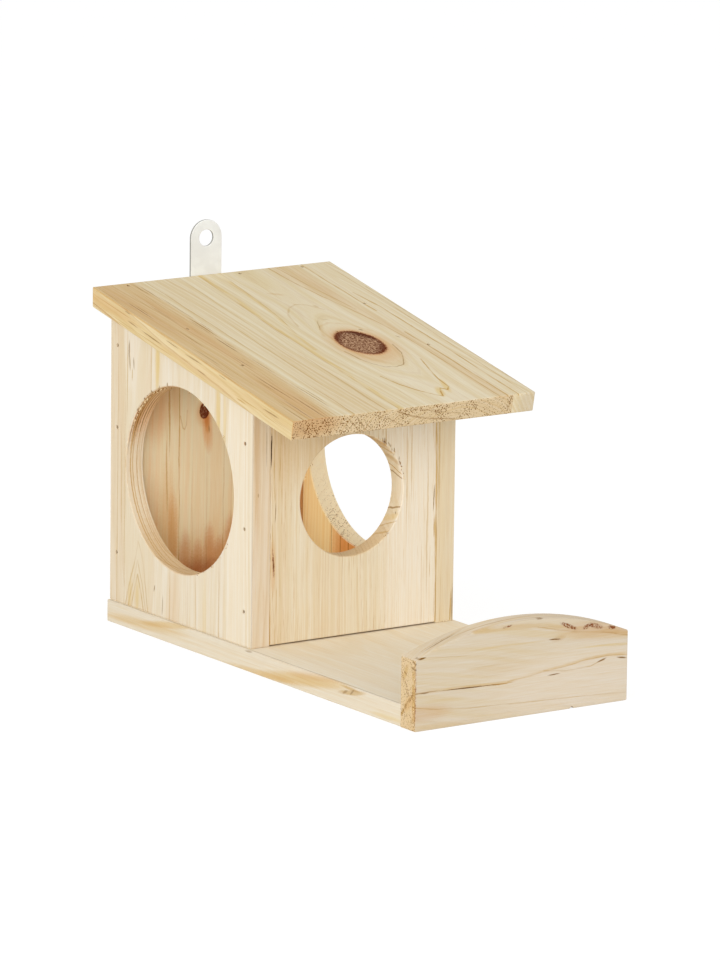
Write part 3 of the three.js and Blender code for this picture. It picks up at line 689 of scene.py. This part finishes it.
def new_group(name, inputs):
    """A node group with the named inputs, vectors unless they are Length, and one float output."""
    tree = bpy.data.node_groups.new(name, "ShaderNodeTree")
    for label in inputs:
        kind = "Float" if label == "Length" else "Vector"
        tree.interface.new_socket(label, in_out="INPUT", socket_type="NodeSocket" + kind)
    tree.interface.new_socket("Result", in_out="OUTPUT", socket_type="NodeSocketFloat")
    s = Shader(tree)
    return tree, s, tree.nodes.new("NodeGroupInput").outputs


def finish_group(tree, result):
    tree.links.new(result, tree.nodes.new("NodeGroupOutput").inputs[0])
    return tree


def spindle_group():
    """Squared distance from a centre, in half axes of an ellipse; each axis is given as 1 over its length."""
    tree, s, given = new_group("spindle", ("Place", "Centre", "Along", "Across"))
    offset = s.vector("SUBTRACT", given["Place"], given["Centre"])
    x = s.vector("DOT_PRODUCT", offset, given["Along"])
    y = s.vector("DOT_PRODUCT", offset, given["Across"])
    return finish_group(tree, s.add(s.mul(x, x), s.mul(y, y)))


def segment_group():
    """How far a place is from the stretch that runs from a start along a direction for a length."""
    tree, s, given = new_group("segment", ("Place", "Start", "Direction", "Length"))
    offset = s.vector("SUBTRACT", given["Place"], given["Start"])
    reach = s.vector("DOT_PRODUCT", offset, given["Direction"])
    reach = s.math("MINIMUM", s.math("MAXIMUM", reach, 0.0), given["Length"])
    nearest = s.scale(given["Direction"], reach)
    return finish_group(tree, s.vector("DISTANCE", offset, nearest))


SPINDLE = spindle_group()
SEGMENT = segment_group()


def in_plane(plane, a, b):
    """A pair of values along two of the axes u, v and w, as a vector of the three."""
    values = dict(zip(plane, (a, b)))
    return Vector([values.get(axis, 0.0) for axis in "uvw"])


class Wood:
    """The sawn wood of one board, as colours over the board's own axes."""

    def __init__(self, shader, spec):
        self.s, self.spec, self.seed = shader, spec, spec["seed"]
        s = shader
        place = s.vector("SUBTRACT", s.place(), tuple(spec["origin"]))
        axes = [tuple(spec[axis]) for axis in ("grain", "across", "through")]
        self.u, self.v, self.w = [s.vector("DOT_PRODUCT", place, axis) for axis in axes]
        self.place = s.combine(self.u, self.v, self.w)
        self.end = s.step(self.facing("grain"), *spec.get("end_from", (0.45, 0.9)))
        self.cut = s.step(self.facing("through"), 0.3, 0.8, 1.0, 0.0)
        drift = self.wander((0.03, 0.08, 0.08), 1.6)
        jitter = self.wander((0.25, 0.9, 0.9), 0.55, detail=3.0)
        along = self.wander((0.08, 0.22, 0.22), 1.6)
        across = s.add(drift, jitter)
        self.wavy = s.vector("ADD", self.place, s.combine(along, across, jitter))
        self.speckle = s.noise(self.place, scale=1.3, detail=3.0, roughness=0.6)
        self.crumbs = s.noise(self.place, scale=1.1, detail=4.0, roughness=0.75)
        self.ragged = s.mul(s.sub(self.speckle, 0.5), 0.7)
        self.patchy = s.step(self.stretched(0.06, 0.3, offset=5.0), 0.36, 0.56, 0.45, 1.0)

    def facing(self, axis):
        """How squarely the surface faces one of the board's axes."""
        normal = self.s.node("NewGeometry").outputs["True Normal"]
        return self.s.math("ABSOLUTE", self.s.vector("DOT_PRODUCT", normal, tuple(self.spec[axis])))

    def wander(self, frequencies, swing, detail=2.0):
        """Noise about zero, in millimetres, with a frequency for each of the board's axes."""
        s = self.s
        noise = s.noise(s.vector("MULTIPLY", self.place, frequencies), detail=detail)
        return s.mul(s.sub(noise, 0.5), swing)

    def stretched(self, along, across, detail=2.0, roughness=0.5, offset=0.0):
        """Noise drawn out along the grain, with frequencies per millimetre."""
        s = self.s
        place = s.vector("MULTIPLY", self.place, (along, across, across))
        return s.noise(s.vector("ADD", place, (self.seed + offset, 0, 0)), detail=detail, roughness=roughness)

    def grouped(self, tree, *values):
        return self.s.fill(self.s.node("Group", node_tree=tree), values).outputs[0]

    def spindle(self, plane, a, b, half_a, half_b, turn=0.0):
        """Squared distance from (a, b), in half sizes of an ellipse turned in its plane."""
        along = in_plane(plane, math.cos(turn), math.sin(turn)) / half_a
        across = in_plane(plane, -math.sin(turn), math.cos(turn)) / half_b
        return self.grouped(SPINDLE, self.wavy, in_plane(plane, a, b), along, across)

    def between(self, limits):
        """1 where the board's axis lies between two values; with bore first, on sawn openings alone."""
        axis, low, high = limits[-3:]
        value = {"u": self.u, "v": self.v, "w": self.w}[axis]
        shown = self.s.mul(self.s.math("GREATER_THAN", value, low), self.s.math("LESS_THAN", value, high))
        return self.s.mul(shown, self.cut) if limits[0] == "bore" else shown

    # Darkens the colour under a mask, or covers it with a tone named in COVERING: used for real stains and
    # for painted shade marks alike
    def stain_or_shade(self, color, mask, tone):
        return self.s.mix(mask, color, tone, blend="MIX" if tone in COVERING else "MULTIPLY")

    def streak(self, color, row, plane, shown):
        s = self.s
        a1, b1, a2, b2, half_width, softness, tone, strength = row
        half_length = math.hypot(a2 - a1, b2 - b1) / 2
        turn = math.atan2(b2 - b1, a2 - a1)
        far = self.spindle(plane, (a1 + a2) / 2, (b1 + b2) / 2, half_length, half_width, turn)
        far = s.add(far, self.ragged)
        mask = s.mul(s.step(far, (1.0 - softness) ** 2, (1.0 + softness * 0.35) ** 2, strength, 0.0), shown)
        if tone == BARK:
            mask = s.mul(mask, s.step(self.crumbs, 0.42, 0.56, 0.15, 1.0))
        return self.stain_or_shade(color, mask, tone)

    def line(self, color, row, plane, shown):
        s = self.s
        half_width, tone, strength = row[:3]
        flat = s.vector("MULTIPLY", self.wavy, in_plane(plane, 1, 1))
        far = None
        for (a1, b1), (a2, b2) in zip(row[3:], row[4:]):
            run = in_plane(plane, a2 - a1, b2 - b1)
            away = self.grouped(SEGMENT, flat, in_plane(plane, a1, b1), run.normalized(), run.length)
            far = away if far is None else s.math("MINIMUM", far, away)
        mask = s.step(far, half_width * 0.2, half_width * 1.4, strength, 0.0)
        return self.stain_or_shade(color, s.mul(mask, s.mul(self.patchy, shown)), tone)

    def radius(self):
        """Distance from the pith, bent by the tree's unevenness and pushed aside by knots."""
        s, spec = self.s, self.spec
        u, v = self.u, self.v
        if "strip" in spec:
            v = s.add(v, s.mul(self.strip(), s.add(31.0, s.mul(u, 0.08))))
        dv = s.sub(s.sub(v, spec["pith"][0]), s.mul(u, spec["lean"][0]))
        dw = s.sub(s.sub(self.w, spec["pith"][1]), s.mul(u, spec["lean"][1]))
        radius = s.vector("LENGTH", s.combine(dv, dw, 0.0))
        radius = s.add(radius, s.mul(s.sub(self.stretched(0.006, 0.022), 0.5), 8.0))
        radius = s.add(radius, s.mul(s.sub(self.stretched(0.03, 0.16, detail=3.0), 0.5), 1.3))
        for ku, kv, half_u, half_v, *_ in spec.get("knots", ()):
            far = self.spindle("uv", ku, kv, half_u * 2.0, half_v * 1.5)
            hill = s.math("EXPONENT", s.mul(far, -1.0))
            radius = s.sub(radius, s.mul(hill, half_v * 0.5))
        return radius

    def strip(self):
        """1 on the strip of other wood that is glued to the board's edge."""
        edge, slant = self.spec["strip"]
        return self.s.step(self.s.sub(self.v, self.s.mul(self.u, slant)), edge - 0.15, edge + 0.15)

    def off_strip(self, value, share):
        """A value that falls to a share of itself on the strip, on a board that has one."""
        if "strip" not in self.spec:
            return value
        return self.s.mul(value, self.s.step(self.strip(), 0.0, 1.0, 1.0, share))

    def knot(self, color, row):
        s = self.s
        ku, kv, half_u, half_v, halo, dark = row
        far = s.math("SQRT", self.spindle("uv", ku, kv, half_u, half_v))
        far = s.add(far, s.mul(self.ragged, 0.42))
        low = s.math("SQRT", self.spindle("uv", ku - half_u * 0.25, kv, half_u * 1.35, half_v * 1.35))
        long_way = s.mul(s.sub(self.u, ku), 0.7 / half_u)
        wide = s.mul(s.sub(self.v, kv), 0.7 / half_v)
        upper = s.add(s.add(long_way, wide), s.mul(self.ragged, 0.5))
        ends = s.add(s.math("ABSOLUTE", s.sub(wide, long_way)), s.mul(self.ragged, 0.6))
        grit = s.noise(self.place, scale=0.9, detail=5.0, roughness=0.85)
        core = s.mix(s.step(grit, 0.44, 0.57), KNOT_DARK, KNOT_LIGHT)
        core = s.mix(s.step(grit, 0.59, 0.66, 0.0, 0.7), core, KNOT_GRIT)
        core = s.mix(s.step(upper, 0.45, 0.85, 0.0, 0.85), core, KNOT_UPPER)
        core = s.mix(s.step(ends, 0.55, 0.88, 0.0, 0.80), core, KNOT_ENDS)
        core = s.mix(s.step(far, 0.86, 0.96, 0.0, 0.65), core, KNOT_RIM)
        core = s.mix(dark, core, KNOT_CLOSED)
        color = self.stain_or_shade(color, s.step(low, 0.75, 0.9 + 0.5 * halo, 0.50, 0.0), ORANGE)
        color = self.stain_or_shade(color, s.step(far, 0.94, 1.14 + 0.10 * halo, 0.60, 0.0), EMBER)
        color = self.stain_or_shade(color, s.step(far, 0.96, 1.08, 0.80, 0.0), BARK)
        return s.mix(s.step(far, 0.96, 1.02, 1.0, 0.0), color, core)

    def colors(self):
        """The wood's colour, its latewood and how high its fibres stand."""
        s, spec = self.s, self.spec
        radius = self.radius()
        phase = s.math("DIVIDE", radius, spec["ring"])
        year, part = s.math("FLOOR", phase), s.math("FRACT", phase)
        strength = s.add(0.2, s.mul(s.math("POWER", s.random(s.add(year, self.seed)), 2.2), 0.8))
        gradual = s.mul(s.step(part, 0.1, 0.9), 0.40)
        abrupt = s.mul(s.step(part, 0.70, 0.90), 0.60)
        late = s.mul(s.mul(s.add(gradual, abrupt), s.step(part, 0.93, 1.0, 1.0, 0.0)), strength)
        if "strip" in spec:
            late = s.mul(late, s.step(s.mul(self.strip(), self.end), 0.0, 1.0, 1.0, 0.15))
        darkness, fineness, shortness, rarity = spec["hair"]
        along = s.mul(s.add(radius, self.seed), 0.11)
        bands = s.fill(s.node("TexNoise", noise_dimensions="1D"), {"W": along, "Detail": 3.0})
        fibre = self.stretched(0.05, 1.9, detail=5.0, roughness=0.65, offset=9.0)
        hair = self.stretched(shortness, fineness, detail=2.0, roughness=0.6, offset=17.0)
        cloud = self.stretched(0.010, 0.03, detail=2.0, offset=29.0)

        color = s.mix(s.step(bands.outputs[0], 0.35, 0.68), spec["early"], spec["warm"])
        if "cut_tone" in spec:
            color = s.mix(s.mul(self.cut, spec["cut_pale"]), color, spec["cut_tone"])
        contrast = s.add(spec["ring_contrast"], s.mul(self.cut, spec.get("cut_rings", 0.4)))
        color = s.mix(s.mul(late, contrast), color, spec["late"])
        for rows, plane, limits in spec["marks"]:
            shown = self.between(limits)
            for row in rows:
                draw = self.line if isinstance(row[3], tuple) else self.streak
                color = draw(color, row, plane, shown)
        color = self.stain_or_shade(color, s.step(fibre, 0.25, 0.75, 0.40, 0.0), GOLD)
        often = s.step(cloud, 0.40, 0.65, 0.30, 1.0)
        if "busy" in spec:
            middle, half = spec["busy"]
            away = s.math("ABSOLUTE", s.sub(self.v, middle))
            often = s.math("MAXIMUM", s.mul(often, 0.55), s.step(away, half * 0.8, half * 1.1, 1.0, 0.0))
        hairs = s.step(hair, rarity, rarity + 0.07, 0.0, darkness)
        color = self.stain_or_shade(color, s.mul(hairs, often), GRAIN)
        for row in spec.get("knots", ()):
            color = self.knot(color, row)
        return self.end_grain(color, late, fibre)

    def end_grain(self, color, late, fibre):
        s, spec = self.s, self.spec
        place = s.vector("MULTIPLY", self.place, (0.7, 1.0, 1.0))
        pits = s.cells(place, scale=1.25)
        patch = s.noise(place, scale=0.12, detail=3.0)
        low, high = spec.get("dot_sizes", (0.20, 0.40))
        size = s.add(s.step(patch, 0.38, 0.62, low, high), s.mul(late, 0.12))
        dots = s.mul(s.math("LESS_THAN", pits, size), self.end)
        if "dots_below" in spec:
            dots = s.mul(dots, s.step(self.u, *spec["dots_below"], 1.0, 0.1))
        dots = self.off_strip(dots, 0.0)
        cover = self.off_strip(s.mul(self.end, 0.55), 0.2)
        color = s.mix(cover, color, spec["end_tone"])
        color = self.stain_or_shade(color, s.mul(s.mul(late, self.end), spec.get("end_rings", 0.5)), GRAIN)
        color = self.stain_or_shade(color, s.mul(dots, spec["end_dots"]), BROWN)
        dents = s.mul(dots, -0.8 * spec["end_dots"] ** 2)
        height = s.add(s.mul(fibre, 0.6), s.add(s.mul(late, 0.35), dents))
        return color, late, height


def wood_material(name, spec):
    material, s = new_material(name)
    color, late, height = Wood(s, spec).colors()
    bright = s.vector("DOT_PRODUCT", color, (0.3, 0.6, 0.1))
    s.surface(s.fill(s.node("BsdfPrincipled"), {
        "Base Color": color,
        "Roughness": s.step(late, 0.0, 1.0, 0.72, 0.55),
        "Specular IOR Level": s.step(bright, 0.08, 0.40, 0.02, 0.3),
        "Normal": s.bump(height, 0.35, 0.00025),
    }))
    return material


def metal_material(name, color, worn, roughness, scratch, metallic=1.0, walls=None):
    """Steel with brushed scratches. walls is the colour of its cut edges, which face along X or Z."""
    material, s = new_material(name)
    place = s.place()
    brushed = s.noise(s.vector("MULTIPLY", place, (3.0, 3.0, 0.3)), detail=4.0)
    cloud = s.noise(place, scale=0.12, detail=3.0)
    tint = s.mix(s.step(cloud, 0.35, 0.65, 0.0, 0.8), color, worn)
    if walls:
        normal = s.node("NewGeometry").outputs["True Normal"]
        flat = s.math("ABSOLUTE", s.vector("DOT_PRODUCT", normal, tuple(AXIS_Y)))
        tint = s.mix(s.step(flat, 0.3, 0.9, 1.0, 0.0), tint, walls)
    s.surface(s.fill(s.node("BsdfPrincipled"), {
        "Base Color": tint,
        "Metallic": metallic,
        "Roughness": s.step(brushed, 0.3, 0.7, roughness - scratch, roughness + scratch, smooth=False),
        "Normal": s.bump(brushed, 0.15, 0.00005),
    }))
    return material


def dress(node_name, material):
    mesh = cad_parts[node_name].data
    mesh.materials.clear()
    mesh.materials.append(material)


def dress_all():
    for name, spec in BOARDS.items():
        dress(name, wood_material(name + "_wood", spec))
    strap = metal_material("strap_metal", STRAP_METAL, STRAP_WORN, 0.38, 0.06, 0.45, STRAP_EDGE)
    screw = metal_material("screw_metal", SCREW_METAL, SCREW_WORN, 0.35, 0.08)
    nail = metal_material("nail_metal", NAIL_METAL, NAIL_WORN, 0.65, 0.1, metallic=0.2)
    roof_nail = metal_material("roof_nail_metal", ROOF_NAIL_METAL, ROOF_NAIL_WORN, 0.75, 0.1, metallic=0.1)
    dress("hanger_strap", strap)
    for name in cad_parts:
        if "screw" in name:
            dress(name, screw)
        elif "nail" in name:
            dress(name, roof_nail if "roof" in name else nail)


# Fibres that the saw left standing. An opening is (middle along its face, middle z, half width, half
# height), in millimetres. Angles are in degrees from the opening's middle, anticlockwise. A known fault:
# the middles lie 2 and 0.7 mm off those of the solids' openings, so that many fibres hang free of the
# wood.
SIDE_OPENING = (186 - SOURCE_Y_ZERO, 79, 46.75, 44.5)
FRONT_OPENING = (-1, 78, 29, 29)
FRONT_FACE_Y = 125 - SOURCE_Y_ZERO
LEFT_FACE_X = -57
LIP_END_X = -59
LIP_FACE_Y = -11.5 - SOURCE_Y_ZERO
# Where an opening is torn: from one angle to another, with how many fibres
TORN_SIDE = [(24, 76, 58), (76, 150, 8), (-150, -100, 9)]
TORN_FRONT = [(8, 60, 22), (-60, -20, 6), (140, 190, 5)]
# The lip's torn left end: how many fibres, how far down they go from how high, and how they crowd upwards
LIP_FIBRES = 30
LIP_TORN_TOP = 32.4
LIP_TORN_DEPTH = 30
LIP_CROWDING = 1.6
SEED = 7


def add_sliver(vertices, faces, root, reach, bend, width):
    """A torn fibre: a three-sided spike that bends once on the way to its tip."""
    side = reach.cross(bend).normalized()
    up = side.cross(reach).normalized()
    first = len(vertices)
    for share, scale in ((0.0, 1.0), (0.6, 0.7)):
        middle = root + reach * share
        for turn in (0, 120, 240):
            out = side * math.cos(math.radians(turn)) + up * math.sin(math.radians(turn))
            vertices.append(middle + out * width * scale / 2)
    vertices.append(root + reach + bend)
    faces.append((first + 2, first + 1, first))
    for i in range(3):
        j = (i + 1) % 3
        faces.append((first + i, first + j, first + 3 + j, first + 3 + i))
        faces.append((first + 3 + i, first + 3 + j, first + 6))


def make_fibres(name, material, slivers):
    vertices, faces = [], []
    for sliver in slivers:
        add_sliver(vertices, faces, *sliver)
    mesh = bpy.data.meshes.new(name)
    mesh.from_pydata([tuple(v / MILLIMETRES) for v in vertices], [], faces)
    mesh.materials.append(material)
    piece = bpy.data.objects.new(name, mesh)
    bpy.context.scene.collection.objects.link(piece)
    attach(piece, "root")


def rim_slivers(rng, opening, torn, place, outward):
    """Slivers round an opening. place turns (along the face, z) into a point, and outward leaves the face."""
    middle, height, half_wide, half_high = opening
    for low, high, count in torn:
        for _ in range(count):
            angle = math.radians(rng.uniform(low, high))
            along, up = math.cos(angle), math.sin(angle)
            root = place(middle + half_wide * along * 1.003, height + half_high * up * 1.003)
            inward = place(-along, -up) - place(0, 0)
            grain = Vector((0, 0, -1 if up > 0 else 1))
            reach = inward * rng.uniform(-0.55, 0.8) + grain * rng.uniform(0.3, 1.2)
            reach += outward * rng.uniform(0.2, 0.55)
            bend = outward * rng.uniform(0.0, 0.35) + grain * rng.uniform(0.1, 0.5) + inward * 0.05
            yield root, reach, bend, rng.uniform(0.26, 0.55)


def lip_sliver(rng):
    """A sliver that stands off the lip's left end, near its front edge."""
    setback = rng.uniform(0.4, 1.4)
    drop = LIP_TORN_DEPTH * rng.random() ** LIP_CROWDING
    root = Vector((LIP_END_X + 0.1, LIP_FACE_Y + setback, LIP_TORN_TOP - drop))
    reach = Vector((-rng.uniform(0.25, 0.7), -rng.uniform(0.0, 0.1), rng.uniform(-0.2, 0.3)))
    bend = Vector((0, rng.uniform(-0.05, 0.1), rng.uniform(0.05, 0.3)))
    return root, reach, bend, rng.uniform(0.25, 0.5)


def fibre_material():
    """Pale straw, with darker slivers among them."""
    material, s = new_material("torn_fibres")
    place = s.place()
    tint = s.noise(place, scale=0.9, detail=2.0)
    color = s.mix(s.step(tint, 0.46, 0.54), FIBRE_DARK, FIBRE_PALE)
    s.surface(s.fill(s.node("BsdfPrincipled"), {
        "Base Color": color,
        "Roughness": 0.7,
        "Specular IOR Level": 0.1,
        "Normal": s.bump(tint, 0.2, 0.0001),
    }))
    return material


def make_torn_fibres():
    rng = random.Random(SEED)
    material = fibre_material()
    left = rim_slivers(rng, SIDE_OPENING, TORN_SIDE, lambda y, z: Vector((LEFT_FACE_X, y, z)), -AXIS_X)
    make_fibres("left_opening_fibres", material, left)
    front = rim_slivers(rng, FRONT_OPENING, TORN_FRONT, lambda x, z: Vector((x, FRONT_FACE_Y, z)), -AXIS_Y)
    make_fibres("front_opening_fibres", material, front)
    make_fibres("lip_end_fibres", material, [lip_sliver(rng) for _ in range(LIP_FIBRES)])


def make_camera():
    azimuth, elevation, roll = (math.radians(a) for a in (CAMERA_AZIMUTH, CAMERA_ELEVATION, CAMERA_ROLL))
    level = math.cos(elevation)
    back = Vector((math.sin(azimuth) * level, -math.cos(azimuth) * level, math.sin(elevation)))
    right = (-back).cross(AXIS_Z).normalized()
    up = right.cross(-back)
    rolled_right = right * math.cos(roll) + up * math.sin(roll)
    rolled_up = up * math.cos(roll) - right * math.sin(roll)
    data = bpy.data.cameras.new("camera")
    data.lens = FOCAL_PIXELS / IMAGE_LONG_SIDE * SENSOR_MM
    data.sensor_width = SENSOR_MM
    data.clip_start, data.clip_end = 0.1, 100
    camera = bpy.data.objects.new("camera", data)
    camera.matrix_world = Matrix((rolled_right, rolled_up, back)).transposed().to_4x4()
    camera.location = LOOK_AT + back * CAMERA_DISTANCE + right * CAMERA_SLIDE_RIGHT + up * CAMERA_SLIDE_UP
    bpy.context.scene.collection.objects.link(camera)
    bpy.context.scene.camera = camera


def make_floor():
    mesh = bpy.data.meshes.new("floor")
    side = FLOOR_HALF_SIDE
    corners = [(-side, -side, 0), (side, -side, 0), (side, side, 0), (-side, side, 0)]
    mesh.from_pydata(corners, [], [(0, 1, 2, 3)])
    floor = bpy.data.objects.new("floor", mesh)
    bpy.context.scene.collection.objects.link(floor)
    material, s = new_material("floor_paper")
    paper = s.fill(s.node("BsdfDiffuse"), {"Color": PAPER_GREY})
    faint = s.fill(s.node("BsdfDiffuse"), {"Color": FAINT_GREY})
    glow = s.fill(s.node("Emission"), {"Color": WHITE, "Strength": FLOOR_GLOW})
    seen = s.fill(s.node("AddShader"), (faint.outputs[0], glow.outputs[0]))
    by_camera = s.node("LightPath").outputs["Is Camera Ray"]
    s.surface(s.fill(s.node("MixShader"), (by_camera, paper.outputs[0], seen.outputs[0])))
    mesh.materials.append(material)


def make_sky():
    world = bpy.data.worlds.new("studio")
    world.use_nodes = True
    bpy.context.scene.world = world
    s = Shader(world.node_tree)
    rays = s.node("LightPath").outputs
    mirrored = s.math("MAXIMUM", rays["Is Glossy Ray"], rays["Is Transmission Ray"])
    seen = s.math("MAXIMUM", rays["Is Camera Ray"], mirrored)
    strength = s.step(seen, 0.0, 1.0, SKY_STRENGTH, 1.0, smooth=False)
    s.surface(s.fill(s.node("Background"), {"Color": WHITE, "Strength": strength}), "OutputWorld")


def make_lamp(name, location, size, power):
    data = bpy.data.lights.new(name, "AREA")
    data.shape = "DISK"
    data.size = size
    data.energy = power
    lamp = bpy.data.objects.new(name, data)
    lamp.location = location
    aim = Vector(LAMP_TARGET) - Vector(location)
    lamp.rotation_euler = aim.to_track_quat("-Z", "Y").to_euler()
    lamp.visible_camera = False
    bpy.context.scene.collection.objects.link(lamp)


def make_light():
    make_sky()
    for name, location, size, power in LAMPS:
        make_lamp(name, location, size, power)


bpy.context.scene.view_settings.view_transform = "Standard"
make_camera()
make_floor()
make_light()
dress_all()
make_torn_fibres()
